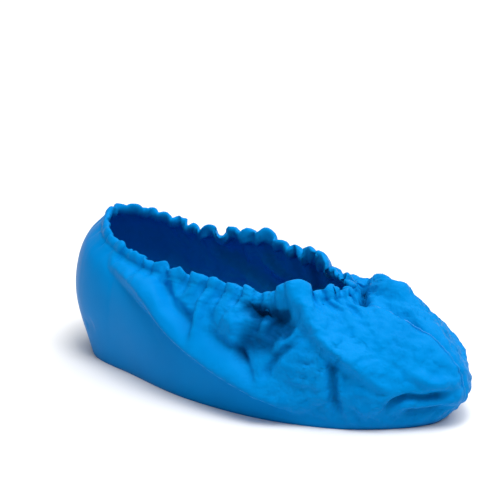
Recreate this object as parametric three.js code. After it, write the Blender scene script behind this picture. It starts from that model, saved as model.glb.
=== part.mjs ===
// Disposable film overshoe, in the form it takes over a right shoe.
// Millimetres, +Z up, toe towards +X, outer side of the foot towards -Y.
// The origin is on the floor, in the middle of the part's box.
//
// One folded sheet of film makes the bag. Its two short edges are welded at the
// heel and the toe, and its long edges are turned in over a loop of elastic.
import * as THREE from "three";

// ---- driving sizes -------------------------------------------------------
const filmWall = 1.2; // thickness of the film as a solid wall
const clearance = 0.3; // between pieces that touch
const soleRows = 2; // from the middle of the sole to its edge
const sideRows = 13; // from the edge of the sole to the mouth
const filmStations = 96; // steps round the foot
const hemStations = 112; // steps round the mouth

const hem = { height: 8.5, depth: 6.4, lobes: 34, lobeOut: 1.3, lobeUp: 1, flap: 2, flapGap: 1.3 };
const elastic = { width: 3.2, thickness: 1.1, up: 4.3, in: 2.95 };
const weld = { height: 2.4, thickness: 1.6, seat: 0.3 }; // seat allows for the valley's slope
const pleats = { count: 22, depth: 2.6, at: 0.86, spread: 0.2 };

// ---- the film's form -----------------------------------------------------
// Twelve stations round the foot. Each row gives the edge of the sole and four
// points up the film: belly, shoulder, crown and mouth.
const stations = [
  {
    at: "heelBack", sole: [-134, 0], belly: [-144, 0, 42],
    shoulder: [-142, 0, 66], crown: [-135, 0, 83], mouth: [-123, 0, 95],
  },
  {
    at: "heelOuter", sole: [-116, -30], belly: [-124, -36, 42],
    shoulder: [-122, -36, 64], crown: [-117, -34, 78], mouth: [-108, -29, 88],
  },
  {
    at: "rearOuter", sole: [-73, -44], belly: [-77, -51, 42],
    shoulder: [-77, -50, 60], crown: [-75, -46, 70], mouth: [-73, -39, 78],
  },
  {
    at: "midOuter", sole: [-20, -57], belly: [-20, -60, 36],
    shoulder: [-21, -57, 56], crown: [-22, -50, 66], mouth: [-21, -42, 75],
  },
  {
    at: "ballOuter", sole: [50, -56], belly: [52, -60, 29],
    shoulder: [48, -57, 52], crown: [42, -50, 65], mouth: [35, -42, 76],
  },
  {
    at: "littleToe", sole: [108, -34], belly: [116, -38, 24],
    shoulder: [108, -34, 46], crown: [89, -28, 63], mouth: [64, -23, 75],
  },
  {
    at: "toeTip", sole: [141, 3], belly: [158, 5, 22],
    shoulder: [149, 5, 45], crown: [118, 4, 66], mouth: [77, 0, 74],
  },
  {
    at: "bigToe", sole: [125, 38], belly: [134, 42, 26],
    shoulder: [125, 37, 51], crown: [102, 29, 73], mouth: [69, 18, 75],
  },
  {
    at: "ballInner", sole: [74, 50], belly: [78, 55, 32],
    shoulder: [74, 50, 57], crown: [61, 41, 71], mouth: [46, 30, 73],
  },
  {
    at: "archInner", sole: [5, 46], belly: [5, 51, 36],
    shoulder: [4, 49, 60], crown: [4, 45, 72], mouth: [4, 38, 80],
  },
  {
    at: "rearInner", sole: [-68, 40], belly: [-73, 47, 42],
    shoulder: [-73, 46, 60], crown: [-71, 43, 71], mouth: [-69, 37, 79],
  },
  {
    at: "heelInner", sole: [-115, 29], belly: [-123, 35, 42],
    shoulder: [-121, 35, 64], crown: [-116, 33, 78], mouth: [-107, 28, 88],
  },
];
const rails = ["sole", "belly", "shoulder", "crown", "mouth"];
const heelTurn = 0; // where the two welds lie, as a share of the way round
const toeTurn = 0.5;

// Folds in the film: a crest or, where rise is negative, a crease along a line.
// below and above are its reach either side of that line.
const folds = [
  { at: "stayOuter", from: [-79, -49, 73], to: [43, -60, 22], rise: 5.5, below: 12, above: 18 },
  { at: "besideStay", from: [-38, -47, 67], to: [-12, -57, 49], rise: -3.5, below: 10, above: 11 },
  { at: "besideStayLow", from: [0, -57, 50], to: [38, -58, 32], rise: -3, below: 10, above: 11 },
  { at: "secondStay", from: [-11, -44, 72], to: [-8, -59, 46], rise: 4, below: 10, above: 10 },
  { at: "waistHollow", from: [12, -53, 62], to: [52, -46, 60], rise: -4, below: 15, above: 12 },
  { at: "ruffleRib", from: [54, -33, 76], to: [88, -41, 58], rise: 5, below: 12, above: 14 },
  { at: "ruffleTail", from: [88, -41, 58], to: [119, -34, 36], rise: 3.5, below: 11, above: 15 },
  { at: "creaseFore", from: [61, -46, 55], to: [45, -57, 30], rise: -3, below: 10, above: 10 },
  { at: "creaseAft", from: [21, -56, 45], to: [41, -58, 28], rise: -2.5, below: 10, above: 10 },
  { at: "toeCrease", from: [87, -44, 48], to: [92, -45, 12], rise: -4, below: 10, above: 10 },
  { at: "toeLap", from: [135, -22, 42], to: [156, -5, 32], rise: 3.5, below: 10, above: 12 },
  { at: "toeTuck", from: [122, -30, 18], to: [156, -2, 27], rise: -3.5, below: 10, above: 10 },
  { at: "instepCrease", from: [73, 20, 78], to: [86, 2, 72], rise: -4, below: 10, above: 10 },
  { at: "instepMound", from: [91, 18, 75], to: [107, 23, 71], rise: 3, below: 12, above: 14 },
  { at: "stayInner", from: [-71, 43, 70], to: [37, 49, 20], rise: 4, below: 12, above: 16 },
  { at: "innerHollow", from: [41, 40, 66], to: [53, 46, 52], rise: -3.5, below: 12, above: 12 },
  { at: "innerCrease", from: [87, 46, 54], to: [93, 47, 14], rise: -3, below: 10, above: 10 },
  { at: "innerLap", from: [111, 38, 52], to: [141, 24, 32], rise: 3, below: 10, above: 12 },
];
// Where the elastic bunches the hem up, as a share of the way round.
const bunches = [
  { at: "foreOuter", turn: 0.375, rise: 5, out: 3.5, reach: 0.045 },
  { at: "tongueOuter", turn: 0.45, rise: 2.5, out: 1.5, reach: 0.02 },
  { at: "tongueInner", turn: 0.565, rise: 2, out: 1, reach: 0.025 },
  { at: "foreInner", turn: 0.695, rise: 6, out: 2, reach: 0.035 },
  { at: "waistInner", turn: 0.78, rise: 2.5, out: 2, reach: 0.03 },
];
const weldValley = { depth: 2.2, reach: 9 }; // the film dips to each weld

const { clamp, smoothstep, lerp } = THREE.MathUtils;
const vector = (xyz) => new THREE.Vector3(xyz[0], xyz[1], xyz[2] ?? 0);
const up = new THREE.Vector3(0, 0, 1);

const railCurves = Object.fromEntries(
  rails.map((rail) => [rail, new THREE.CatmullRomCurve3(stations.map((row) => vector(row[rail])), true)]),
);
const heelEdge = railCurves.sole.getPoint(heelTurn);
const toeEdge = railCurves.sole.getPoint(toeTurn);

// The line down the middle of the sole, which the film's two halves share.
const keelInset = 16;
function keelPoint(x) {
  const heel = heelEdge.x + keelInset;
  const toe = toeEdge.x - keelInset;
  const along = clamp((x - heel) / (toe - heel), 0, 1);
  return new THREE.Vector3(lerp(heel, toe, along), toeEdge.y * along * along, 0);
}

// The smooth form. turn runs 0 to 1 round the foot from the heel. rise is -1 at
// the keel, 0 at the edge of the sole and 1 at the mouth.
function formPoint(turn, rise) {
  const edge = railCurves.sole.getPoint(turn);
  if (rise <= 0) {
    const mate = railCurves.sole.getPoint((1 - turn) % 1);
    return keelPoint((edge.x + mate.x) / 2).lerp(edge, 1 + rise);
  }
  return new THREE.CatmullRomCurve3(rails.map((rail) => railCurves[rail].getPoint(turn))).getPoint(rise);
}

// The way out of the smooth form, from points a small step to each side.
function formNormal(turn, rise) {
  const step = 0.004;
  const along = formPoint((turn + step) % 1, rise).sub(formPoint((turn - step + 1) % 1, rise));
  const upward = formPoint(turn, Math.min(rise + step, 1)).sub(formPoint(turn, Math.max(rise - step, 0.001)));
  return along.cross(upward).normalize();
}

// How far a fold lifts a point of the film. The fold's line may run up to
// foldDepth inside or outside the film.
const foldDepth = 12;
function foldLift(fold, point, normal) {
  const from = vector(fold.from);
  const line = vector(fold.to).sub(from);
  const length = line.length();
  line.normalize();
  const offset = point.clone().sub(from);
  const along = clamp(offset.dot(line), 0, length);
  const away = offset.addScaledVector(line, -along);
  away.addScaledVector(normal, -clamp(away.dot(normal), -foldDepth, foldDepth));
  const distance = away.length();
  const across = normal.clone().cross(line).normalize();
  const upSide = distance > 0 ? (away.dot(across) / distance) * (across.z < 0 ? -1 : 1) : 0;
  const reach = lerp(fold.below, fold.above, 0.5 + 0.5 * upSide);
  const crest = Math.max(0, 1 - distance / reach);
  const end = Math.min(1, (4 * Math.min(along, length - along)) / length);
  return fold.rise * crest * crest * (3 - 2 * crest) * lerp(0.4, 1, end);
}

// Uneven gathers that the elastic draws into the film below the mouth.
function pleatLift(turn, rise) {
  const wander = 0.5 * Math.sin(6 * Math.PI * turn + 1) + 0.3 * Math.sin(14 * Math.PI * turn);
  const wave = Math.cos(2 * Math.PI * (pleats.count * turn + wander));
  const strength = 0.7 + 0.3 * Math.sin(10 * Math.PI * turn + 2);
  const heelSmooth = smoothstep(Math.min(turn, 1 - turn), 0.06, 0.2);
  const fade = Math.max(0, 1 - Math.abs(rise - pleats.at) / pleats.spread);
  return pleats.depth * wave * strength * heelSmooth * fade;
}

function filmPoint(turn, rise) {
  const point = formPoint(turn, rise);
  if (rise <= 0) return point;
  const normal = formNormal(turn, rise);
  const floorFade = smoothstep(rise, 0, 0.16);
  const mouthFade = 1 - 0.8 * smoothstep(rise, 0.86, 1);
  let lift = folds.reduce((sum, fold) => sum + foldLift(fold, point, normal), 0) * mouthFade;
  const weldDistance = railCurves.belly.getLength() * Math.min(Math.abs(turn - toeTurn), turn, 1 - turn);
  lift -= weldValley.depth * Math.max(0, 1 - weldDistance / weldValley.reach) * mouthFade;
  lift += pleatLift(turn, rise);
  return point.addScaledVector(normal, lift * floorFade);
}

// ---- solids --------------------------------------------------------------
function solidOf(points, index) {
  const geometry = new THREE.BufferGeometry();
  geometry.setAttribute("position", new THREE.Float32BufferAttribute(points.flatMap((p) => p.toArray()), 3));
  geometry.setIndex(index);
  return geometry;
}

// A closed section swept along a list of frames, as a ring or with capped ends.
function sweep(sections, ring) {
  const count = sections.length;
  const sides = sections[0].length;
  const index = [];
  const id = (step, side) => (step % count) * sides + (side % sides);
  for (let step = 0; step < (ring ? count : count - 1); step++)
    for (let side = 0; side < sides; side++) {
      index.push(id(step, side), id(step + 1, side), id(step + 1, side + 1));
      index.push(id(step, side), id(step + 1, side + 1), id(step, side + 1));
    }
  if (!ring)
    for (let side = 1; side + 1 < sides; side++) {
      index.push(id(0, 0), id(0, side), id(0, side + 1));
      index.push(id(count - 1, 0), id(count - 1, side + 1), id(count - 1, side));
    }
  return solidOf(sections.flat(), index);
}

// The bag: its outer surface, and an inner one a wall's thickness inside.
function filmBody() {
  const outer = [];
  for (let row = 0; row <= soleRows + sideRows; row++) {
    const rise = row <= soleRows ? row / soleRows - 1 : (row - soleRows) / sideRows;
    outer.push(Array.from({ length: filmStations }, (_, i) => filmPoint(i / filmStations, rise)));
  }
  const rows = outer.length;
  const inner = outer.map((ring, row) =>
    ring.map((p, i) => {
      if (row < soleRows) return p.clone().addScaledVector(up, filmWall);
      const along = ring[(i + 1) % filmStations].clone().sub(ring[(i + filmStations - 1) % filmStations]);
      const upward = outer[Math.min(row + 1, rows - 1)][i].clone().sub(outer[row - 1][i]);
      const inside = p.clone().addScaledVector(along.cross(upward).normalize(), -filmWall);
      if (row === soleRows) inside.z = filmWall;
      return inside;
    }),
  );
  const index = [];
  const id = (wall, row, i) => (wall * rows + row) * filmStations + (i % filmStations);
  for (let i = 0; i < filmStations; i++) {
    for (let row = 0; row + 1 < rows; row++) {
      index.push(id(0, row, i), id(0, row, i + 1), id(0, row + 1, i + 1));
      index.push(id(0, row, i), id(0, row + 1, i + 1), id(0, row + 1, i));
      index.push(id(1, row, i), id(1, row + 1, i + 1), id(1, row, i + 1));
      index.push(id(1, row, i), id(1, row + 1, i), id(1, row + 1, i + 1));
    }
    index.push(id(0, rows - 1, i), id(0, rows - 1, i + 1), id(1, rows - 1, i + 1));
    index.push(id(0, rows - 1, i), id(1, rows - 1, i + 1), id(1, rows - 1, i));
  }
  return solidOf([...outer.flat(), ...inner.flat()], index);
}

// The mouth's own frame: its place, the ways out and up, and down the film.
function mouthFrame(turn) {
  const step = 1 / filmStations;
  const place = filmPoint(turn, 1);
  const along = filmPoint((turn + step) % 1, 1).sub(filmPoint((turn - step + 1) % 1, 1)).normalize();
  const down = filmPoint(turn, 1 - 1 / sideRows).sub(place).normalize();
  const leaning = up.clone().multiplyScalar(1.2).sub(down);
  const out = along.clone().cross(leaning).normalize();
  return { place, out, rise: out.clone().cross(along).normalize(), down };
}

// How much the hem is bunched up, from 0 to each bunch's own rise and out.
function bunchLift(turn) {
  const lift = { rise: 0, out: 0 };
  for (const bunch of bunches) {
    const share = 1 - smoothstep(Math.abs(turn - bunch.turn), 0, bunch.reach);
    lift.rise += share * bunch.rise;
    lift.out += share * bunch.out;
  }
  return lift;
}

// A share of the way round the mouth, by its length, as a turn.
const mouthTurn = (share) => railCurves.mouth.getUtoTmapping(share);

// The turned-in edge: a wall folded over the elastic, its flap against the film.
function hemFold() {
  const sections = Array.from({ length: hemStations }, (_, i) => {
    const share = i / hemStations;
    const turn = mouthTurn(share);
    const { place, out, rise, down } = mouthFrame(turn);
    const wave = Math.cos(2 * Math.PI * (hem.lobes * share + 0.4 * Math.sin(8 * Math.PI * share)));
    const lobe = wave * (0.75 + 0.25 * Math.sin(12 * Math.PI * share));
    const bunch = bunchLift(turn);
    const bulge = hem.lobeOut * lobe + bunch.out;
    const top = hem.height + hem.lobeUp * lobe + bunch.rise;
    const wall = filmWall;
    const deep = hem.depth;
    // out, up, and down along the film
    const section = [
      [0, clearance, 0],
      [0.6 + bulge, 0.5 * top, 0],
      [-1 + 0.5 * bulge, top, 0],
      [1 - deep, top, 0],
      [-deep - 0.3 * bulge, 0.4 * top, 0],
      [-2 * wall - hem.flapGap, 0, hem.flap],
      [-wall - hem.flapGap, 0, hem.flap],
      [wall - deep - 0.3 * bulge, 0.4 * top, 0],
      [1 + 0.6 * wall - deep, top - wall, 0],
      [-1 - 0.6 * wall + 0.5 * bulge, top - wall, 0],
      [0.6 - wall + bulge, 0.5 * top, 0],
      [-wall, clearance, 0],
    ];
    return section.map(([o, u, d]) =>
      place.clone().addScaledVector(out, o).addScaledVector(rise, u).addScaledVector(down, d),
    );
  });
  return sweep(sections, true);
}

function elasticLoop() {
  const half = { out: elastic.thickness / 2, up: elastic.width / 2 };
  const sections = Array.from({ length: hemStations }, (_, i) => {
    const { place, out, rise } = mouthFrame(mouthTurn(i / hemStations));
    const centre = place.addScaledVector(out, -elastic.in).addScaledVector(rise, elastic.up);
    return [[1, -1], [1, 1], [-1, 1], [-1, -1]].map(([o, u]) =>
      centre.clone().addScaledVector(out, o * half.out).addScaledVector(rise, u * half.up),
    );
  });
  return sweep(sections, true);
}

// The fused edge of the film, a low fin along the middle of the toe or heel.
function weldFin(turn) {
  const half = weld.thickness / 2;
  const sections = [];
  for (let row = 1; row < sideRows; row++) {
    const rise = row / sideRows;
    const step = 1 / sideRows;
    const upward = filmPoint(turn, rise + step).sub(filmPoint(turn, rise - step)).normalize();
    const along = formPoint((turn + 0.004) % 1, rise).sub(formPoint((turn + 0.996) % 1, rise)).normalize();
    const out = along.clone().cross(upward).normalize();
    const foot = filmPoint(turn, rise).addScaledVector(out, clearance + weld.seat);
    const profile = [[half, 0], [half, weld.height], [-half, weld.height], [-half, 0]];
    sections.push(profile.map(([a, o]) => foot.clone().addScaledVector(along, a).addScaledVector(out, o)));
  }
  return sweep(sections, false);
}

// ---- the part ------------------------------------------------------------
const filmBlue = new THREE.MeshStandardMaterial({ color: 0x0a84d8, roughness: 0.42, metalness: 0 });
const hemBlue = new THREE.MeshStandardMaterial({ color: 0x0b78cc, roughness: 0.45, metalness: 0 });
const weldBlue = new THREE.MeshStandardMaterial({ color: 0x0762ac, roughness: 0.3, metalness: 0 });
const elasticWhite = new THREE.MeshStandardMaterial({ color: 0xdfe6ea, roughness: 0.8, metalness: 0 });

const overshoe = new THREE.Group();
function place(name, geometry, material) {
  const mesh = new THREE.Mesh(geometry, material);
  mesh.name = name;
  overshoe.add(mesh);
}
place("film_body", filmBody(), filmBlue);
place("hem_fold", hemFold(), hemBlue);
place("elastic_loop", elasticLoop(), elasticWhite);
place("toe_weld", weldFin(toeTurn), weldBlue);
place("heel_weld", weldFin(heelTurn), weldBlue);

const centre = new THREE.Box3().setFromObject(overshoe).getCenter(new THREE.Vector3());
overshoe.position.set(-centre.x, -centre.y, 0);

export default overshoe;
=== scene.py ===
import bpy, bmesh, math
import numpy as np
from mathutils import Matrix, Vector


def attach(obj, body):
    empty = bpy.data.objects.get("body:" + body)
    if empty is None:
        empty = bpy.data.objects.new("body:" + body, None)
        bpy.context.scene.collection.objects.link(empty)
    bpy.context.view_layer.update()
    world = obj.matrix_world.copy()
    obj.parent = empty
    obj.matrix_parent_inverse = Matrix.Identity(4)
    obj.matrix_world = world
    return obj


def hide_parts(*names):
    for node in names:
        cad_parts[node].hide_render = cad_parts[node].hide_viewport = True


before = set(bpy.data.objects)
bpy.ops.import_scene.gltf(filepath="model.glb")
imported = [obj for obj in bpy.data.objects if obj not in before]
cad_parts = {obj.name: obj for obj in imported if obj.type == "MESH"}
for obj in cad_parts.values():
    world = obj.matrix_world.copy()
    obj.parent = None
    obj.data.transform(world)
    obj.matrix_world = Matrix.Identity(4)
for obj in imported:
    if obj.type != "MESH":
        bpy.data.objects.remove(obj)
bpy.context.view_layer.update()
print("frame loaded")

millimetre = 0.001


def hexColour(text):  # sRGB hex to the linear colour that shaders want
    channels = [int(text[i:i + 2], 16) / 255 for i in (1, 3, 5)]
    return tuple(c / 12.92 if c <= 0.04045 else ((c + 0.055) / 1.055) ** 2.4 for c in channels) + (1.0,)


# The form the film takes, from the same sections as the CAD part, in mm.
form = {
    "shift": (-6.74, 5.56, 0.0),  # from the sections' own zero to the middle of the part
    "heelTurn": 0.0,
    "toeTurn": 0.5,
    "keelInset": 16.0,
}
sections = [
    # sole's edge, belly, shoulder, crown, mouth
    ((-134, 0, 0), (-144, 0, 42), (-142, 0, 66), (-135, 0, 83), (-123, 0, 95)),  # heel, back
    ((-116, -30, 0), (-124, -36, 42), (-122, -36, 64), (-117, -34, 78), (-108, -29, 88)),
    ((-73, -44, 0), (-77, -51, 42), (-77, -50, 60), (-75, -46, 70), (-73, -39, 78)),
    ((-20, -57, 0), (-20, -60, 36), (-21, -57, 56), (-22, -50, 66), (-21, -42, 75)),
    ((50, -56, 0), (52, -60, 29), (48, -57, 52), (42, -50, 65), (35, -42, 76)),
    ((108, -34, 0), (116, -38, 24), (108, -34, 46), (89, -28, 63), (64, -23, 75)),
    ((141, 3, 0), (158, 5, 22), (149, 5, 45), (118, 4, 66), (77, 0, 74)),  # toe's tip
    ((125, 38, 0), (134, 42, 26), (125, 37, 51), (102, 29, 73), (69, 18, 75)),
    ((74, 50, 0), (78, 55, 32), (74, 50, 57), (61, 41, 71), (46, 30, 73)),
    ((5, 46, 0), (5, 51, 36), (4, 49, 60), (4, 45, 72), (4, 38, 80)),
    ((-68, 40, 0), (-73, 47, 42), (-73, 46, 60), (-71, 43, 71), (-69, 37, 79)),
    ((-115, 29, 0), (-123, 35, 42), (-121, 35, 64), (-116, 33, 78), (-107, 28, 88)),
]


def smoothThrough(points, at, closed):  # a centripetal spline through rows of points, sampled at 0..1
    points = np.asarray(points, float)
    count = len(points)
    spans = count if closed else count - 1
    place = np.clip(np.asarray(at, float), 0, 1) * spans
    first = np.minimum(place.astype(int), spans - 1) if not closed else place.astype(int) % count
    weight = (place - np.floor(place)) if closed else place - first
    if closed:
        before, start, end, after = (points[(first + k) % count] for k in (-1, 0, 1, 2))
    else:
        padded = np.concatenate([[2 * points[0] - points[1]], points, [2 * points[-1] - points[-2]]])
        before, start, end, after = (padded[first + k] for k in (0, 1, 2, 3))
    reach = [np.maximum(np.linalg.norm(b - a, axis=-1, keepdims=True) ** 0.5, 1e-4)
             for a, b in ((before, start), (start, end), (end, after))]
    leave = ((start - before) / reach[0] - (end - before) / (reach[0] + reach[1])
             + (end - start) / reach[1]) * reach[1]
    arrive = ((end - start) / reach[1] - (after - start) / (reach[1] + reach[2])
              + (after - end) / reach[2]) * reach[1]
    t = weight.reshape(weight.shape + (1,))
    return (start + leave * t + (3 * (end - start) - 2 * leave - arrive) * t ** 2
            + (2 * (start - end) + leave + arrive) * t ** 3)


def formPoints(turns, rises):  # grid of points, rises down the rows and turns across
    rails = np.stack([smoothThrough([s[k] for s in sections], turns, True) for k in range(5)], axis=1)
    mates = smoothThrough([s[0] for s in sections], (1 - turns) % 1, True)
    edge = rails[:, 0]
    heel, toe = sections[0][0][0] + form["keelInset"], sections[6][0][0] - form["keelInset"]
    along = np.clip(((edge[:, 0] + mates[:, 0]) / 2 - heel) / (toe - heel), 0, 1)
    keel = np.stack([heel + (toe - heel) * along, sections[6][0][1] * along ** 2, 0 * along], axis=-1)
    onSide = np.clip(rises, 0, 1)
    sides = np.stack([smoothThrough(rails[i], onSide, False) for i in range(len(turns))], axis=1)
    under = np.clip(1 + rises, 0, 1)[:, None, None]
    return np.where(rises[:, None, None] < 0, keel + (edge - keel) * under, sides)


def gridNormals(points):  # outward, on a grid closed across its columns
    along = np.roll(points, -1, axis=1) - np.roll(points, 1, axis=1)
    upward = np.gradient(points, axis=0)
    out = np.cross(along, upward)
    return out / np.maximum(np.linalg.norm(out, axis=-1, keepdims=True), 1e-9)


def ease(value, low, high):
    share = np.clip((value - low) / (high - low), 0, 1)
    return share * share * (3 - 2 * share)


# The film's folds, in mm on the finished part. Each one follows a line. rise is its
# height, or its depth where it is below nought. low and high are its reach on the
# side towards the sole and the mouth.
folds = {
    "stayOuter": {
        "line": [(-92, -42, 79), (-57, -48, 62), (-28, -54, 45), (5, -56, 32), (36, -55, 22), (60, -55, 12)],
        "rise": 9.5, "low": 6.8, "high": 15, "crisp": 0.4, "fullStart": 0.02,
    },
    "stayOuterRoot": {
        "line": [(-76, -42, 76), (-56, -44, 69), (-40, -47, 62)],
        "rise": 2.6, "low": 10, "high": 12,
    },
    "besideStay": {
        "line": [(-58, -37, 79), (-47, -42, 68), (-40, -46, 62), (-26, -49, 56), (-19, -53, 49)],
        "rise": -5.2, "low": 6, "high": 8,
    },
    "besideStayLow": {
        "line": [(-8, -53, 51), (2, -54, 47), (18, -53, 43), (31, -54, 32)],
        "rise": -1.0, "low": 5, "high": 8,
    },
    "secondStay": {
        "line": [(-18, -38, 73), (-17, -47, 65), (-16, -52, 55), (-15, -55, 46)],
        "rise": 4.2, "low": 5, "high": 5,
    },
    "waistHollow": {
        "line": [(-7, -50, 58), (0, -53, 50), (16, -54, 43), (26, -54, 36)],
        "rise": -1.6, "low": 8, "high": 8,
    },
    "waistBay": {
        "line": [(12, -52, 51), (28, -50, 52), (46, -47, 54)],
        "rise": -6.8, "low": 17, "high": 28,
    },
    "waistPuff": {"line": [(2, -46, 62), (14, -48, 58)], "rise": 2.4, "low": 8, "high": 7},
    "waistTuck": {"line": [(24, -41, 67), (25, -47, 58)], "rise": -2.2, "low": 5, "high": 5},
    "pocket": {
        "line": [(16, -40, 74), (31, -38, 75), (49, -34, 73)],
        "rise": -12.0, "low": 12, "high": 7, "fullStart": 0.08,
    },
    "pocketFloor": {"line": [(33, -40, 68), (52, -41, 61)], "rise": -6.5, "low": 15, "high": 12},
    "rib": {
        "line": [(43, -25, 79), (54, -30, 69), (64, -35, 63), (79, -39, 55), (94, -37, 47), (112, -31, 34)],
        "rise": 7.0, "low": 8, "high": 18, "crisp": 0.3, "fullStart": 1,
    },
    "ribNotch": {"line": [(53, -20, 76), (57, -22, 73)], "rise": -3.0, "low": 4, "high": 4},
    "veeFront": {
        "line": [(54, -42, 55), (45, -48, 45), (38, -53, 30)],
        "rise": -4.0, "low": 4, "high": 5, "crisp": 0.5,
    },
    "veeBack": {
        "line": [(14, -52, 45), (24, -54, 38), (34, -54, 28)],
        "rise": -3.0, "low": 5, "high": 4.5, "crisp": 0.4,
    },
    "toeCrease": {
        "line": [(80, -40, 51), (82, -42, 38), (83, -42, 26), (86, -41, 9)],
        "rise": -4.8, "low": 5.5, "high": 6.5, "crisp": 0.2,
    },
    "toeCreaseSide": {"line": [(90, -39, 44), (91, -40, 26)], "rise": -1.6, "low": 6, "high": 8},
    "toeLap": {
        "line": [(128, -18, 42), (139, -12, 35), (149, -1, 32)],
        "rise": 3.4, "low": 6, "high": 9,
    },
    "toeTuck": {
        "line": [(113, -27, 12), (118, -26, 22), (126, -21, 26), (133, -13, 25), (141, -6, 26), (148, 0, 27)],
        "rise": -5.0, "low": 7, "high": 3.8, "crisp": 0.4,
    },
    "toeUnder": {
        "line": [(124, -25, 9), (137, -15, 10), (147, -2, 12)],
        "rise": -4.0, "low": 9, "high": 9,
    },
    "instepCrease": {
        "line": [(62, 30, 77), (68, 20, 76), (73, 13, 75), (79, 6, 72)],
        "rise": -9.5, "low": 5, "high": 6, "fullStart": 0.15,
    },
    "instepCreaseFoot": {"line": [(79, 6, 72), (72, 0, 74)], "rise": -3.4, "low": 5, "high": 4},
    "instepPit": {"line": [(59, 12, 79), (62, 8, 78)], "rise": -5.5, "low": 5, "high": 5},
    "instepMound": {
        "line": [(70, 34, 75), (84, 28, 74), (98, 30, 71)],
        "rise": 7.4, "low": 12, "high": 11, "fullStart": 0.1,
    },
    "seamValley": {
        "line": [(84, 11, 73), (103, 10, 69), (124, 9, 59)],
        "rise": -2.6, "low": 5, "high": 7,
    },
    "innerStay": {
        "line": [(-78, 47, 70), (-40, 50, 54), (-4, 51, 36), (30, 53, 20)],
        "rise": 3.8, "low": 9, "high": 14,
    },
    "innerBeside": {"line": [(-34, 46, 64), (-14, 50, 52)], "rise": -2.8, "low": 7, "high": 7},
    "innerSecond": {
        "line": [(10, 42, 73), (12, 49, 58), (14, 51, 48)],
        "rise": 3.0, "low": 6, "high": 6,
    },
    "innerHollow": {"line": [(34, 44, 66), (46, 50, 52)], "rise": -3.4, "low": 9, "high": 9},
    "innerCrease": {
        "line": [(80, 50, 54), (84, 53, 36), (86, 51, 14)],
        "rise": -2.8, "low": 6, "high": 5,
    },
    "innerLap": {
        "line": [(104, 42, 52), (118, 38, 40), (134, 28, 32)],
        "rise": 2.8, "low": 6, "high": 10,
    },
    "heelDimple": {"line": [(-122, -24, 26), (-112, -31, 30)], "rise": -1.3, "low": 7, "high": 8},
    "heelInnerDimple": {"line": [(-112, 34, 52), (-96, 42, 40)], "rise": -1.6, "low": 12, "high": 12},
}


foldLine = {"steps": 24, "margin": 14, "through": 12}  # mm looked at beside it, and through the film


def foldLift(points, normals, fold):
    line = smoothThrough(fold["line"], np.linspace(0, 1, foldLine["steps"] + 1), False)
    steps = np.diff(line, axis=0)
    lengths = np.linalg.norm(steps, axis=1)
    flat, out = points.reshape(-1, 3), normals.reshape(-1, 3)
    beside = max(fold["low"], fold["high"]) + foldLine["margin"]
    near = ((flat > line.min(axis=0) - beside) & (flat < line.max(axis=0) + beside)).all(axis=1)
    lift = np.zeros(len(flat))
    flat, out = flat[near], out[near]
    close = np.full(len(flat), 1e9)
    signed, place = np.zeros(len(flat)), np.zeros(len(flat))
    for k, (start, step, length) in enumerate(zip(line, steps, lengths)):
        along = np.clip((flat - start) @ step / length ** 2, 0, 1)
        away = flat - start - along[:, None] * step
        away -= out * np.clip((away * out).sum(1), -foldLine["through"], foldLine["through"])[:, None]
        far = np.linalg.norm(away, axis=1)
        side = (away * np.cross(out, step / length)).sum(1)
        take = far < close
        close[take], signed[take], place[take] = far[take], side[take], (k + along[take]) / len(steps)
    upwards = np.sign(np.cross(out, steps[foldLine["steps"] // 2])[:, 2] + 1e-9)
    lean = np.clip(signed * upwards / np.maximum(close, 1e-6), -1, 1)
    reach = fold["low"] + (fold["high"] - fold["low"]) * (0.5 + 0.5 * lean)
    crest = np.clip(1 - close / reach, 0, 1)
    taper = 0.25 + 0.75 * np.minimum(1, 5 * np.minimum(place + fold.get("fullStart", 0), 1 - place))
    crisp = fold.get("crisp", 0)  # 1 is a straight-sided fold, 0 a rounded one
    shape = crisp * crest + (1 - crisp) * crest ** 2 * (3 - 2 * crest)
    lift[near] = fold["rise"] * shape * taper
    return lift.reshape(points.shape[:2])


# The gathers are puffs of film between the points where the elastic pinches it.
gathers = {
    "seed": 11,
    "fine": (9.0, 19.0),  # mm between pinches
    "coarse": (26.0, 46.0),
    "fineRise": 1.8,  # mm a puff stands out, and how far down the film it reaches
    "fineReach": 11,
    "coarseRise": 3.0,
    "coarseReach": 34,
}


def pinches(rng, span, low, high):
    places = [0.0]
    while places[-1] < span - high:
        places.append(places[-1] + rng.uniform(low, high))
    places = np.array(places + [span])
    return places, rng.uniform(0.45, 1.0, len(places)), rng.uniform(0.5, 1.5, len(places))


def puffs(kind, along):  # 0 at a pinch, 1 in the middle between two
    places, sizes, lengths = kind
    along = along % places[-1]
    at = np.clip(np.searchsorted(places, along, side="right") - 1, 0, len(places) - 2)
    gap = places[at + 1] - places[at]
    share = (along - places[at]) / gap
    return np.sqrt(np.clip(1 - (2 * share - 1) ** 2, 0, 1)), sizes[at], lengths[at]


def waves(points, scale, seed):  # smooth unevenness, about -1 to 1
    rng = np.random.default_rng(seed)
    total = np.zeros(points.shape[:-1])
    for _ in range(7):
        way = rng.normal(size=3)
        way *= 2 * math.pi / (scale * rng.uniform(0.7, 1.5) * np.linalg.norm(way))
        total += np.sin(points @ way + rng.uniform(0, 6.28))
    return total / 3.2


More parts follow.
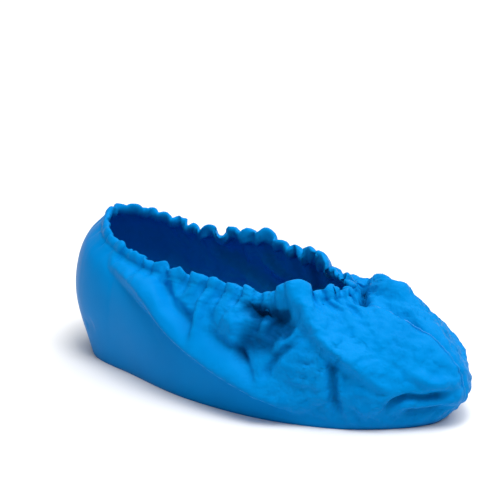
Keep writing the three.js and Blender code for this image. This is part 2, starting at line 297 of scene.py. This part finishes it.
# The film itself, its hem and the seams' dips.
film = {
    "columns": 420,
    "soleRows": 8,
    "sideRows": 64,
    "hemRows": 18,
    "thickness": 0.25,  # mm
    "hemIn": 3.0,  # the elastic's place, in and up from the mouth
    "hemUp": 4.2,
    "hemDeep": 2.5,  # half sizes of the roll of film round it
    "hemTall": 4.4,
    "hemSway": 1.3,  # how far the gathered hem waves in and out, and up and down
    "hemCrest": 1.1,
    "hemLip": 1.6,
    "hemFlap": 2.6,  # mm the flap's edge lies inside the wall
    "seamDip": 1.1,  # the dip to each seam, and half its width
    "seamDipWide": 3.5,
    "pit": 3.2,  # the pit under the hem at each pinch, and how far down it reaches
    "pitReach": 4.5,
    "recess": 2.0,  # how far the drawn-in stretch lies back, and how far down
    "recessReach": 5,
}
bunches = [  # where the elastic bunches the hem: share of the way round, rise, out, reach
    (0.375, 6.5, 4.5, 0.050),
    (0.45, 2.5, 1.5, 0.020),
    (0.565, 2.0, 1.0, 0.025),
    (0.695, 7.0, 2.0, 0.040),
    (0.78, 2.5, 2.0, 0.030),
]

rng = np.random.default_rng(gathers["seed"])
evenTurns = np.linspace(0, 1, 2401)
bellyLine = smoothThrough([s[1] for s in sections], evenTurns, True)
bellyRun = np.concatenate([[0], np.cumsum(np.linalg.norm(np.diff(bellyLine, axis=0), axis=1))])
turns = np.interp(np.arange(film["columns"]) / film["columns"] * bellyRun[-1], bellyRun, evenTurns)
# The turns are alike on both sides, so that the two halves meet under the sole.
turns[1:] = (turns[1:] + 1 - turns[:0:-1]) / 2
bellyAt = np.interp(turns, evenTurns, bellyRun)
mouthLine = smoothThrough([s[4] for s in sections], evenTurns, True)
mouthRun = np.concatenate([[0], np.cumsum(np.linalg.norm(np.diff(mouthLine, axis=0), axis=1))])
alongMouth = np.interp(turns, evenTurns, mouthRun)
fine = pinches(rng, mouthRun[-1], *gathers["fine"])
coarse = pinches(rng, mouthRun[-1], *gathers["coarse"])


def around(centre, reach):  # 1 at that share of the way round the foot, 0 beyond its reach
    return 1 - ease(np.abs((turns - centre + 0.5) % 1 - 0.5), 0, reach)


ruffle = np.minimum(1, 1.5 * around(0.375, 0.05))  # one broad ruffle on the outer side
recess = np.minimum(1, 1.6 * around(0.305, 0.055))  # behind it the hem is drawn in under its own lip

rises = np.concatenate([
    -np.linspace(1, 0, film["soleRows"] + 1)[:-1] ** 1.3,
    np.linspace(0, 1, film["sideRows"] + 1),
])
plain = formPoints(turns, rises) + np.array(form["shift"])
out = gridNormals(plain)
upSteps = np.linalg.norm(np.diff(plain, axis=0), axis=2)
runUp = np.concatenate([np.zeros((1, len(turns))), np.cumsum(upSteps, axis=0)])
belowMouth = runUp[-1] - runUp  # mm of film from the mouth
heelSmooth = ease(np.minimum(turns, 1 - turns), 0.05, 0.2)[None, :]

wander = 5 * waves(plain, 60, 3) * ease(belowMouth, 0, 40)
puff, size, length = puffs(fine, alongMouth[None, :] + wander)
fade = np.exp(-(belowMouth / (gathers["fineReach"] * length)) ** 1.5)
lift = gathers["fineRise"] * puff * size * fade * (0.35 + 0.65 * heelSmooth)
lift *= 1 - 0.7 * ruffle
puff, size, length = puffs(coarse, alongMouth[None, :] + 2 * wander)
swell = ease(belowMouth, 2, 16) * np.exp(-(belowMouth / (gathers["coarseReach"] * length)) ** 2)
lift += gathers["coarseRise"] * (puff - 0.4) * size * swell * heelSmooth
for fold in folds.values():
    lift += foldLift(plain, out, fold) * (1 - 0.7 * ease(-belowMouth, -4, 0))
for seamTurn in (form["heelTurn"], form["toeTurn"]):
    apart = np.abs((turns - seamTurn + 0.5) % 1 - 0.5) * bellyRun[-1]
    dip = film["seamDip"] * np.exp(-(apart / film["seamDipWide"]) ** 2)
    lift -= dip[None, :] * ease(rises, 0, 0.1)[:, None]
pit = (1 - puffs(fine, alongMouth)[0])[None, :] ** 2 * np.exp(-(belowMouth / film["pitReach"]) ** 2)
pit *= (0.3 + 0.7 * heelSmooth) * (1 - 0.8 * ruffle) * (1 + 1.3 * around(0.275, 0.07))
lift -= film["pit"] * pit
lift -= film["recess"] * recess * np.exp(-(belowMouth / film["recessReach"]) ** 2)
for centre, _, wide, reach in bunches:  # a bunched hem carries the film below it along
    lift += 0.9 * wide * ((1 - ease(np.abs(turns - centre), 0, reach)) * np.exp(-(belowMouth / 12) ** 2))
settled = ease(rises, 0.0, 0.14)[:, None]  # the film is flat where it's trodden on
body = plain + out * (lift * settled)[..., None]


def mouthFrames(points):
    ring, below = points[-1], plain[-4]
    along = np.roll(ring, -2, axis=0) - np.roll(ring, 2, axis=0)
    down = below - ring
    down /= np.linalg.norm(down, axis=1, keepdims=True)
    away = np.cross(along, np.array([0, 0, 1.2]) - down)
    away /= np.linalg.norm(away, axis=1, keepdims=True)
    rise = np.cross(away, along)
    return ring, away, rise / np.linalg.norm(rise, axis=1, keepdims=True)


def ripples(along, low, high, seed):  # uneven ripples along the hem, about -1 to 1, low to high mm long
    rng = np.random.default_rng(seed)
    total = np.zeros(len(along))
    for _ in range(6):
        count = round(mouthRun[-1] / rng.uniform(low, high))
        total += np.sin(2 * math.pi * count * along / mouthRun[-1] + rng.uniform(0, 6.28))
    return total / 2.4


def hemRows(points, wall, lumpy):  # the film goes on up, over the elastic and down to its flap
    ring, away, rise = mouthFrames(points)
    lively = lumpy * (1 - 0.75 * np.maximum(ruffle, 0.8 * recess)) * (0.45 + 0.55 * heelSmooth[0])
    slant = 3.0 * ripples(alongMouth, 30, 60, 41)
    up, proud = np.zeros(len(turns)), np.zeros(len(turns))
    for centre, high, wide, reach in bunches:
        up, proud = up + around(centre, reach) * high, proud + around(centre, reach) * wide
    rows = []
    for angle in np.radians(np.linspace(-38, 236, film["hemRows"])):
        towards, above = math.cos(angle), math.sin(angle)
        along = alongMouth + slant * (angle - 0.6)
        puff, size, _ = puffs(fine, along)
        pinch = lively * (1 - puff) ** 1.5 * (0.4 + 0.6 * size)
        sway = lively * film["hemSway"] * ripples(along, 7, 17, 42) * (0.35 + 0.65 * max(above, 0))
        crest = lively * film["hemCrest"] * ripples(along, 8, 22, 43) * max(above, 0)
        lip = film["hemLip"] * recess * lumpy * max(above, 0) ** 3 * max(towards + 0.3, 0)
        outwards = towards * (film["hemDeep"] - 0.9 * pinch) + max(towards, 0) * proud + sway + lip
        upwards = film["hemUp"] + above * (film["hemTall"] - 1.5 * pinch) + crest + max(above, 0) * up
        outwards -= film["hemIn"] + 1.2 * recess * lumpy
        rows.append(ring + away * outwards[:, None] + rise * upwards[:, None])
    rows.append(wall[-3] - away * film["hemFlap"])
    return np.stack(rows)


def melt(points, share, passes):  # smooths the crease between the film and the hem where share is 1
    points = points.copy()
    for _ in range(passes):
        middle = (points[:-2] + points[2:]) / 2
        points[1:-1] += 0.5 * share[1:-1, :, None] * (middle - points[1:-1])
    return points


# Takes mm. corners are the UVs, and shades are values kept on the points.
def meshPiece(name, vertices, faces, corners=None, shades=None):
    mesh = bpy.data.meshes.new(name)
    mesh.from_pydata((np.asarray(vertices) * millimetre).tolist(), [], faces)
    if corners is not None:
        layer = mesh.uv_layers.new(name="filmMap")
        layer.data.foreach_set("uv", (np.asarray(corners) * millimetre).ravel())
    for key, values in (shades or {}).items():
        attribute = mesh.attributes.new(key, "FLOAT", "POINT")
        attribute.data.foreach_set("value", np.asarray(values, dtype=np.float32))
    piece = bpy.data.objects.new(name, mesh)
    bpy.context.collection.objects.link(piece)
    shell = bmesh.new()
    shell.from_mesh(mesh)
    bmesh.ops.remove_doubles(shell, verts=shell.verts, dist=0.004 * millimetre)
    bmesh.ops.dissolve_degenerate(shell, edges=shell.edges, dist=0.001 * millimetre)
    bmesh.ops.recalc_face_normals(shell, faces=shell.faces)
    shell.to_mesh(mesh)
    shell.free()
    mesh.shade_smooth()
    return piece


def filmSheet(name, points, shades):  # the sole's middle row is shared by the two halves
    rows, columns = points.shape[:2]
    half = columns // 2
    across = np.append(bellyAt, bellyRun[-1])
    upAt = np.concatenate([runUp - runUp[film["soleRows"]], np.zeros((rows - len(runUp), columns))])
    upAt[len(runUp):] = upAt[len(runUp) - 1] + 1.2 * np.arange(1, rows - len(runUp) + 1)[:, None]

    def place(row, column):
        column %= columns
        return row * columns + (columns - column if row == 0 and column > half else column)

    faces, corners = [], []
    for row in range(rows - 1):
        for column in range(columns):
            ring = ((row, column), (row, column + 1), (row + 1, column + 1), (row + 1, column))
            faces.append([place(r, c) for r, c in ring])
            corners += [(across[c], upAt[r, c % columns]) for r, c in ring]
    flatShades = {key: values.ravel() for key, values in shades.items()}
    return meshPiece(name, points.reshape(-1, 3), faces, corners, flatShades)


def stripPiece(name, sections, ring):  # closed sections lofted along a line, as a ring or with capped ends
    count, sides = len(sections), len(sections[0])
    faces = [[(i % count) * sides + j, ((i + 1) % count) * sides + j,
              ((i + 1) % count) * sides + (j + 1) % sides, (i % count) * sides + (j + 1) % sides]
             for i in range(count if ring else count - 1) for j in range(sides)]
    if not ring:
        faces += [list(range(sides)), [(count - 1) * sides + j for j in range(sides)]]
    return meshPiece(name, np.concatenate(sections), faces)


# The loose film settles. It is larger than the foot's form, so it buckles.
settling = {
    "steps": 200,
    "inside": 2.0,  # mm it may sink from the folded shape, and stand off it
    "outside": 2.8,
    "gathered": 0.16,  # spare length round the mouth, and how far down it reaches in mm
    "gatheredReach": 15.0,
    "spareRound": 0.045,  # spare length over the toe and waist, round and up the foot
    "spareUp": 0.055,
    "stiffBend": 0.16,
    "pullHome": 0.01,
    "seedBumps": 0.9,
    "scratches": ((27, 21, 1.2), (16, 22, 1.1), (9.5, 23, 0.6)),  # mm apart, seed, mm deep
    "scratchWide": 1.3,
    "shadeFromDepth": 0.9,  # mm of fold depth where the painted shade in the folds begins, and where it is full
    "shadeFullDepth": 7.0,
}


def linkSets(rows, columns):  # neighbours in sets that share no point, with the steps between them
    for down, across, stiff in ((0, 1, 1.0), (1, 0, 1.0), (1, 1, 0.55), (1, -1, 0.55),
                                (0, 2, 0), (2, 0, 0), (0, 4, 0), (4, 0, 0)):
        size = down if across == 0 else (across if down == 0 else 1)
        for half in (0, 1):
            if down:
                fromRows = np.array([r for r in range(rows - down) if (r // size) % 2 == half])
                fromColumns = np.arange(columns)
            else:
                fromRows = np.arange(rows)
                fromColumns = np.array([c for c in range(columns) if (c // size) % 2 == half])
            r, c = np.meshgrid(fromRows, fromColumns, indexing="ij")
            start = (r * columns + c).ravel()
            end = ((r + down) * columns + (c + across) % columns).ravel()
            yield start, end, stiff, down, across


def settle(start, folded, out, free, growRound, growUp):
    rows, columns = folded.shape[:2]
    rest = folded.reshape(-1, 3)
    spareRound, spareUp = growRound.ravel(), growUp.ravel()
    links = []
    for a, b, stiff, down, across in linkSets(rows, columns):
        reach = np.linalg.norm(rest[b] - rest[a], axis=1)
        across, down = abs(across), abs(down)
        spare = (spareRound[a] * across ** 2 + spareUp[a] * down ** 2) / (across ** 2 + down ** 2)
        weightA, weightB = free.ravel()[a], free.ravel()[b]
        share = stiff if stiff else settling["stiffBend"]
        total = np.maximum(weightA + weightB, 1e-6)
        links.append((a, b, reach * (1 + spare), share * weightA / total, share * weightB / total))
    points = start.reshape(-1, 3).copy()
    away = out.reshape(-1, 3)
    loose = free.reshape(-1, 1)
    for _ in range(settling["steps"]):
        for a, b, reach, moveA, moveB in links:
            gap = points[b] - points[a]
            far = np.linalg.norm(gap, axis=1)
            gap *= ((far - reach) / np.maximum(far, 1e-6))[:, None]
            points[a] += gap * moveA[:, None]
            points[b] -= gap * moveB[:, None]
        points += loose * settling["pullHome"] * (rest - points)
        height = ((points - rest) * away).sum(1)
        allowed = np.clip(height, -settling["inside"], settling["outside"])
        points += away * (allowed - height)[:, None] * loose
    return points.reshape(folded.shape)


hemCount = film["hemRows"] + 1
plainWhole = np.concatenate([plain, hemRows(plain, plain, 0)])
whole = np.concatenate([body, hemRows(plain * 0.45 + body * 0.55, body, 1)])
rowsFromMouth = np.arange(len(whole)) - len(rises)
whole = melt(whole, np.exp(-(rowsFromMouth[:, None] / 7) ** 2) * ruffle[None, :], 30)
outWhole = gridNormals(plainWhole)
heelSides = heelSmooth * np.ones((len(whole), 1))
stay = np.array(folds["stayOuter"]["line"], float)
belowStay = np.interp(plainWhole[..., 0], stay[:, 0], stay[:, 2], left=200) - plainWhole[..., 2]
taut = ease(belowStay, -6, 4) * ease(-plainWhole[..., 1], 0, 15) * (1 - ease(plainWhole[..., 0], 30, 70))
heelSides = heelSides * (1 - 0.97 * taut)
onStay = ease(belowStay, -19, -13) * (1 - ease(belowStay, -6, 4)) * ease(-plainWhole[..., 1], 0, 15)
# The stay's own face is drawn smooth.
heelSides *= 1 - 0.92 * onStay * (1 - ease(plainWhole[..., 0], 0, 40))
heelSides *= 1 - 0.6 * ruffle[None, :] * np.exp(-rowsFromMouth[:, None] ** 2 / 90)
patches = 0.25 + 1.5 * ease(waves(plainWhole, 38, 9), -0.5, 1.1)
toeShare = ease(plainWhole[..., 0], -30, 60) * patches
riseWhole = np.concatenate([rises, np.full(hemCount, 1.0)])[:, None]
reachWhole = np.concatenate([belowMouth, np.zeros((hemCount, len(turns)))])
onHem = np.zeros((len(whole), 1))
onHem[-hemCount:] = 1
held = np.ones((len(whole), 1))  # the elastic's line and the flap are held
held[len(rises) - 1] = held[-1] = 0.1
free = ease(riseWhole, 0.02, 0.1) * held * np.ones((1, len(turns)))
growRound = settling["gathered"] * np.exp(-(reachWhole / settling["gatheredReach"]) ** 1.3)
growRound *= 0.1 + 0.9 * heelSides
growRound += settling["spareRound"] * (0.25 + 0.75 * toeShare) * heelSides * (1 - onHem)
growUp = settling["spareUp"] * (0.3 + 0.7 * toeShare) * heelSides * (1 - onHem)
seeds = settling["seedBumps"] * (0.6 * waves(plainWhole, 11, 5) + waves(plainWhole, 23, 6))
seeds *= 0.05 + 0.95 * heelSides
scratches = np.zeros(whole.shape[:2])  # creases the film keeps from being packed flat
for scale, seed, deep in settling["scratches"]:
    lines = np.abs(waves(plainWhole, scale, seed)) * scale / 5
    scratches -= deep * np.clip(1 - lines / settling["scratchWide"], 0, 1) ** 1.5
scratches *= free * heelSides * (1 - onHem) * (0.35 + 0.65 * np.clip(toeShare, 0, 1))
whole = settle(whole + outWhole * (seeds * free)[..., None], whole, outWhole, free, growRound, growUp)
whole += outWhole * scratches[..., None]
print("film settled")
slack = np.clip(heelSides * (0.3 + 0.7 * np.clip(toeShare, 0, 1)) * free, 0, 1)
# Painted shade: the deeper a fold or recess is pressed in, the darker blue the film is painted there.
foldShadeMask = ease(-lift, settling["shadeFromDepth"], settling["shadeFullDepth"])
foldShadeMask = np.concatenate([foldShadeMask, np.zeros((hemCount, len(turns)))])
filmPiece = filmSheet("coverFilm", whole, {"slack": slack, "paintedFoldShade": foldShadeMask})
print("film laid out")

bpy.ops.object.select_all(action="DESELECT")
bpy.context.view_layer.objects.active = filmPiece
filmPiece.select_set(True)
wall = filmPiece.modifiers.new("wall", "SOLIDIFY")
wall.thickness = film["thickness"] * millimetre
wall.offset = -1
wall.use_rim = True
bpy.ops.object.modifier_apply(modifier="wall")
print("film thickened:", len(filmPiece.data.polygons), "faces")

# The elastic, inside the hem it gathers.
elastic = {"wide": 1.6, "thick": 0.35, "round": 0.1, "clear": 0.6, "least": 0.06}  # mm, least is a share
ringCentre = whole[len(rises) + 2:-3].mean(axis=0)
near = np.concatenate([np.roll(whole[len(rises):], across, axis=1) for across in (-2, -1, 0, 1, 2)])
room = np.linalg.norm(ringCentre - near, axis=2).min(axis=0)  # it narrows where the hem is pinched flat
print("tape has", round(float(room.min()), 2), "to", round(float(room.max()), 2), "mm of room")
fits = np.clip((room - film["thickness"] - elastic["clear"]) / (elastic["wide"] / 2), elastic["least"], 1)
fits = np.minimum(fits, np.minimum(np.roll(fits, 1), np.roll(fits, -1)))
_, away, rise = mouthFrames(plain)
bandCorners = [(o * (elastic["thick"] / 2 - a), u * (elastic["wide"] / 2 - b))
               for o, u, a, b in ((1, -1, 0, elastic["round"]), (1, 1, 0, elastic["round"]),
                                  (1, 1, elastic["round"], 0), (-1, 1, elastic["round"], 0),
                                  (-1, 1, 0, elastic["round"]), (-1, -1, 0, elastic["round"]),
                                  (-1, -1, elastic["round"], 0), (1, -1, elastic["round"], 0))]
band = [[ringCentre[i] + (away[i] * o + rise[i] * u) * fits[i] for o, u in bandCorners]
        for i in range(len(turns))]
elasticPiece = stripPiece("elasticBand", band, True)
print("elastic in")

# The fused seams are a low fin of film up the middle of the heel and the toe.
seam = {"height": 1.1, "thick": 0.8, "lean": 0.55, "firstRow": 6, "wander": 0.5}


def seamFin(name, column, side):
    middle = whole[film["soleRows"] + seam["firstRow"]:len(rises) - 3, column]
    out = outWhole[film["soleRows"] + seam["firstRow"]:len(rises) - 3, column]
    run = np.concatenate([[0], np.cumsum(np.linalg.norm(np.diff(middle, axis=0), axis=1))])
    along = np.gradient(middle, axis=0)
    along /= np.linalg.norm(along, axis=1, keepdims=True)
    sections = []
    for i, place in enumerate(middle):
        across = np.cross(along[i], out[i])
        curl = seam["wander"] * math.sin(run[i] / 6.0) + 0.6 * seam["wander"] * math.sin(run[i] / 2.3 + 1)
        taper = min(1, 0.35 + min(run[i], run[-1] - run[i]) / 6)
        tip = out[i] + across * side * (seam["lean"] + 0.4 * curl)
        tip *= seam["height"] * taper * (1 + 0.15 * math.sin(run[i] / 3.7)) / np.linalg.norm(tip)
        sections.append([place - out[i] * 0.3 + tip * reach + across * half * seam["thick"] / 2
                         for half, reach in ((1, 0), (0.8, 0.6), (0.5, 1), (-0.5, 1), (-0.8, 0.6), (-1, 0))])
    return stripPiece(name, sections, False)


heelSeam = seamFin("heelSeam", 0, 1)
toeSeam = seamFin("toeSeam", film["columns"] // 2, 1)
print("seams on")


def addNode(tree, kind, links=None, **settings):
    node = tree.nodes.new(kind)
    for key, value in settings.items():
        if hasattr(node, key):
            setattr(node, key, value)
        else:
            node.inputs[key.replace("_", " ")].default_value = value
    for socket, source in (links or {}).items():
        tree.links.new(source, node.inputs[socket])
    return node


def newMaterial(name, **settings):
    material = bpy.data.materials.new(name)
    material.use_nodes = True
    shader = material.node_tree.nodes["Principled BSDF"]
    for key, value in settings.items():
        shader.inputs[key.replace("_", " ")].default_value = value
    return material, material.node_tree, shader


perMetre = 1 / millimetre
filmLook = {
    # The darkest blue in this list is painted shade for the deep fold hollows and recesses.
    "blue": "#0080c8", "deep": "#006eb4", "paintedFoldShade": "#00447a", "pale": "#1c97e0",
    "emboss": 1.5,  # mm between the dots rolled into the film, coarse enough to show
    "embossDeep": 0.05,
    "crumple": 12.0,  # mm, about, from one crease left by packing to the next
    "crumpleDeep": 0.6,
    "wrinkle": 7.0,
    "wrinkleDeep": 1.15,
    "mottle": 34.0,  # mm, where the film is a little thicker or thinner
    "bend": 14.0,  # mm, which bends the creases, and how far
    "bendShift": 5.0,
    "creaseWide": 0.17,
    "paleShare": 0.12,
    "gloss": (0.33, 0.46),
    "tint": "#2aa2ff",
}

# Low-density polyethylene film, blown, then chill embossed: a satin blue skin
# that takes sharp creases and pales where it is strained. Its deep folds and recesses get painted shade, a
# darker blue.
embossedFilm, tree, shader = newMaterial(
    "embossedPolyethyleneFilm", Roughness=0.45, Specular_IOR_Level=0.05,
    Specular_Tint=hexColour(filmLook["tint"]), IOR=1.51)
filmMap = addNode(tree, "ShaderNodeUVMap", uv_map="filmMap").outputs["UV"]
inSpace = addNode(tree, "ShaderNodeTexCoord").outputs["Object"]
slackHere = addNode(tree, "ShaderNodeAttribute", attribute_name="slack").outputs["Fac"]
foldShadeHere = addNode(tree, "ShaderNodeAttribute", attribute_name="paintedFoldShade").outputs["Fac"]
mottle = addNode(tree, "ShaderNodeTexNoise", {"Vector": inSpace}, Scale=perMetre / filmLook["mottle"],
                 Detail=3, Roughness=0.55)
bent = addNode(tree, "ShaderNodeTexNoise", {"Vector": inSpace}, Scale=perMetre / filmLook["bend"], Detail=2)
bentPlace = addNode(tree, "ShaderNodeVectorMath", {0: inSpace}, operation="MULTIPLY_ADD")
bentPlace.inputs[1].default_value = (1, 1, 1)
bentShift = addNode(tree, "ShaderNodeVectorMath", {0: bent.outputs["Color"]}, operation="SCALE",
                    Scale=filmLook["bendShift"] * millimetre)
tree.links.new(bentShift.outputs[0], bentPlace.inputs[2])
folded = addNode(tree, "ShaderNodeTexNoise", {"Vector": bentPlace.outputs[0]},
                 Scale=perMetre / filmLook["crumple"], Detail=2.5, Roughness=0.5)
offLine = addNode(tree, "ShaderNodeMath", {0: folded.outputs["Fac"]}, operation="SUBTRACT")
offLine.inputs[1].default_value = 0.5
fromLine = addNode(tree, "ShaderNodeMath", {0: offLine.outputs[0]}, operation="ABSOLUTE")
creases = addNode(tree, "ShaderNodeMapRange", {"Value": fromLine.outputs[0]},
                  interpolation_type="SMOOTHERSTEP", From_Max=filmLook["creaseWide"], To_Min=1, To_Max=0)
wrinkles = addNode(tree, "ShaderNodeTexNoise", {"Vector": bentPlace.outputs[0]},
                   Scale=perMetre / filmLook["wrinkle"], Detail=3, Roughness=0.6, Distortion=0.8)
dots = addNode(tree, "ShaderNodeTexVoronoi", {"Vector": filmMap}, voronoi_dimensions="2D",
               Scale=perMetre / filmLook["emboss"], Randomness=0.35)
tone = addNode(tree, "ShaderNodeMix", {0: mottle.outputs["Fac"]}, data_type="RGBA")
tone.inputs[6].default_value = hexColour(filmLook["blue"])
tone.inputs[7].default_value = hexColour(filmLook["deep"])
strained = addNode(tree, "ShaderNodeMath", {0: creases.outputs["Result"], 1: slackHere},
                   operation="MULTIPLY")
faint = addNode(tree, "ShaderNodeMath", {0: strained.outputs[0]}, operation="MULTIPLY")
faint.inputs[1].default_value = filmLook["paleShare"]
paled = addNode(tree, "ShaderNodeMix", {0: faint.outputs[0], 6: tone.outputs[2]}, data_type="RGBA")
paled.inputs[7].default_value = hexColour(filmLook["pale"])
# Painted shade: deep fold hollows and recesses are mixed towards the darkest blue.
foldShaded = addNode(tree, "ShaderNodeMix", {0: foldShadeHere, 6: paled.outputs[2]}, data_type="RGBA")
foldShaded.inputs[7].default_value = hexColour(filmLook["paintedFoldShade"])
tree.links.new(foldShaded.outputs[2], shader.inputs["Base Color"])
satin = addNode(tree, "ShaderNodeMapRange", {"Value": mottle.outputs["Fac"]},
                To_Min=filmLook["gloss"][0], To_Max=filmLook["gloss"][1])
tree.links.new(satin.outputs["Result"], shader.inputs["Roughness"])
creased = addNode(tree, "ShaderNodeBump", {"Height": creases.outputs["Result"], "Strength": slackHere},
                  Distance=-filmLook["crumpleDeep"] * millimetre)
wrinkled = addNode(tree, "ShaderNodeBump", {"Height": wrinkles.outputs["Fac"], "Strength": slackHere,
                                            "Normal": creased.outputs[0]},
                   Distance=filmLook["wrinkleDeep"] * millimetre)
embossed = addNode(tree, "ShaderNodeBump",
                   {"Height": dots.outputs["Distance"], "Normal": wrinkled.outputs[0]},
                   Strength=0.6, Distance=filmLook["embossDeep"] * millimetre)
tree.links.new(embossed.outputs[0], shader.inputs["Normal"])
filmPiece.data.materials.append(embossedFilm)

seamLook = {
    "dark": "#0074bc",
    "light": "#0084cc",
    "uneven": 5,  # mm
    "toothTurn": 1.2,  # mm to one radian of the wave, which puts the teeth about 7.5 mm apart
    "toothDeep": 0.08,
}

# The same film fused between hot bars: glossier, darker, with the bars' teeth across it.
fusedFilm, tree, shader = newMaterial(
    "fusedPolyethyleneSeam", Roughness=0.3, Specular_IOR_Level=0.2, IOR=1.51)
inSpace = addNode(tree, "ShaderNodeTexCoord").outputs["Object"]
uneven = addNode(tree, "ShaderNodeTexNoise", {"Vector": inSpace},
                 Scale=perMetre / seamLook["uneven"], Detail=2)
seamTone = addNode(tree, "ShaderNodeMix", {0: uneven.outputs["Fac"]}, data_type="RGBA")
seamTone.inputs[6].default_value = hexColour(seamLook["dark"])
seamTone.inputs[7].default_value = hexColour(seamLook["light"])
tree.links.new(seamTone.outputs[2], shader.inputs["Base Color"])
teeth = addNode(tree, "ShaderNodeTexWave", {"Vector": inSpace}, bands_direction="Z", Distortion=0.5,
                Scale=perMetre / seamLook["toothTurn"] / 20)  # the node turns 20 radians to a unit
toothed = addNode(tree, "ShaderNodeBump", {"Height": teeth.outputs["Fac"]}, Strength=0.5,
                  Distance=seamLook["toothDeep"] * millimetre)
tree.links.new(toothed.outputs[0], shader.inputs["Normal"])
heelSeam.data.materials.append(fusedFilm)
toeSeam.data.materials.append(fusedFilm)

tapeLook = {"dark": "#d9d5c4", "light": "#f1efe6", "talc": 1.1, "talcDeep": 0.05}  # mm

# Natural rubber tape, cut from calendered sheet: matt, off-white, dusted with talc.
rubberTape, tree, shader = newMaterial("calenderedRubberTape", Roughness=0.75, IOR=1.52)
inSpace = addNode(tree, "ShaderNodeTexCoord").outputs["Object"]
talc = addNode(tree, "ShaderNodeTexNoise", {"Vector": inSpace}, Scale=perMetre / tapeLook["talc"],
               Detail=4, Roughness=0.7)
tapeTone = addNode(tree, "ShaderNodeMix", {0: talc.outputs["Fac"]}, data_type="RGBA")
tapeTone.inputs[6].default_value = hexColour(tapeLook["dark"])
tapeTone.inputs[7].default_value = hexColour(tapeLook["light"])
tree.links.new(tapeTone.outputs[2], shader.inputs["Base Color"])
talcBump = addNode(tree, "ShaderNodeBump", {"Height": talc.outputs["Fac"]}, Strength=0.4,
                   Distance=tapeLook["talcDeep"] * millimetre)
tree.links.new(talcBump.outputs[0], shader.inputs["Normal"])
elasticPiece.data.materials.append(rubberTape)
print("finishes on")

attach(filmPiece, "root")
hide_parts("film_body", "hem_fold")
for piece, node, slot in ((elasticPiece, "elastic_loop", "elastic"),
                          (heelSeam, "heel_weld", "weld"), (toeSeam, "toe_weld", "weld")):
    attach(piece, "root")
    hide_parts(node)

# Floor, light and camera.
studio = {
    "floor": 24,  # m, wide enough to look endless
    "floorGrey": 0.8,
    "floorRough": 0.9,
    "sky": 0.42,
    "boxPlace": (0.26, -0.2, 1.05),
    "boxSize": 0.42,
    "boxWatts": 6.5,
    "sun": 2.7,  # its strength, its angle in degrees and the way it shines
    "sunAngle": 70,
    "sunWay": (-0.25, -0.2, -1),
    "sunPlace": (0, 0, 2),
}
bpy.ops.object.select_all(action="DESELECT")
bpy.ops.mesh.primitive_plane_add(size=studio["floor"], location=(0, 0, 0))
floor = bpy.context.object
floor.name = "paleFloor"
paper = bpy.data.materials.new("whitePaperSweep")
paper.use_nodes = True
paperShader = paper.node_tree.nodes["Principled BSDF"]
paperShader.inputs["Base Color"].default_value = (studio["floorGrey"],) * 3 + (1,)
paperShader.inputs["Roughness"].default_value = studio["floorRough"]
floor.data.materials.append(paper)

world = bpy.data.worlds.new("studio")
bpy.context.scene.world = world
world.use_nodes = True
world.node_tree.nodes["Background"].inputs["Color"].default_value = (1, 1, 1, 1)
world.node_tree.nodes["Background"].inputs["Strength"].default_value = studio["sky"]


def softbox(name, place, size, watts, aim=(0, 0, 0.05)):
    data = bpy.data.lights.new(name, "AREA")
    data.shape = "SQUARE"
    data.size = size
    data.energy = watts
    lamp = bpy.data.objects.new(name, data)
    bpy.context.collection.objects.link(lamp)
    lamp.location = place
    lamp.rotation_euler = (Vector(aim) - Vector(place)).to_track_quat("-Z", "Y").to_euler()


softbox("overhead", studio["boxPlace"], studio["boxSize"], studio["boxWatts"])
ceilingData = bpy.data.lights.new("ceiling", "SUN")
ceilingData.energy = studio["sun"]
ceilingData.angle = math.radians(studio["sunAngle"])
ceiling = bpy.data.objects.new("ceiling", ceilingData)
bpy.context.collection.objects.link(ceiling)
ceiling.location = studio["sunPlace"]
ceiling.rotation_euler = Vector(studio["sunWay"]).to_track_quat("-Z", "Y").to_euler()

view = {
    "azimuth": 33.0, "elevation": 22.0, "distance": 1.5, "aim": (0, 0, 0.045),
    "lens": 164.9, "sensor": 36, "shift": (-0.0364, 0.1600),
}
turn, tilt = math.radians(view["azimuth"]), math.radians(view["elevation"])
back = Vector((math.sin(turn) * math.cos(tilt), -math.cos(turn) * math.cos(tilt), math.sin(tilt)))
cameraData = bpy.data.cameras.new("camera")
cameraData.lens = view["lens"]
cameraData.sensor_width = view["sensor"]
cameraData.shift_x, cameraData.shift_y = view["shift"]
camera = bpy.data.objects.new("camera", cameraData)
bpy.context.collection.objects.link(camera)
camera.location = Vector(view["aim"]) + back * view["distance"]
camera.rotation_mode = "QUATERNION"
camera.rotation_quaternion = (-back).to_track_quat("-Z", "Y")
bpy.context.scene.camera = camera
bpy.context.scene.view_settings.view_transform = "Standard"
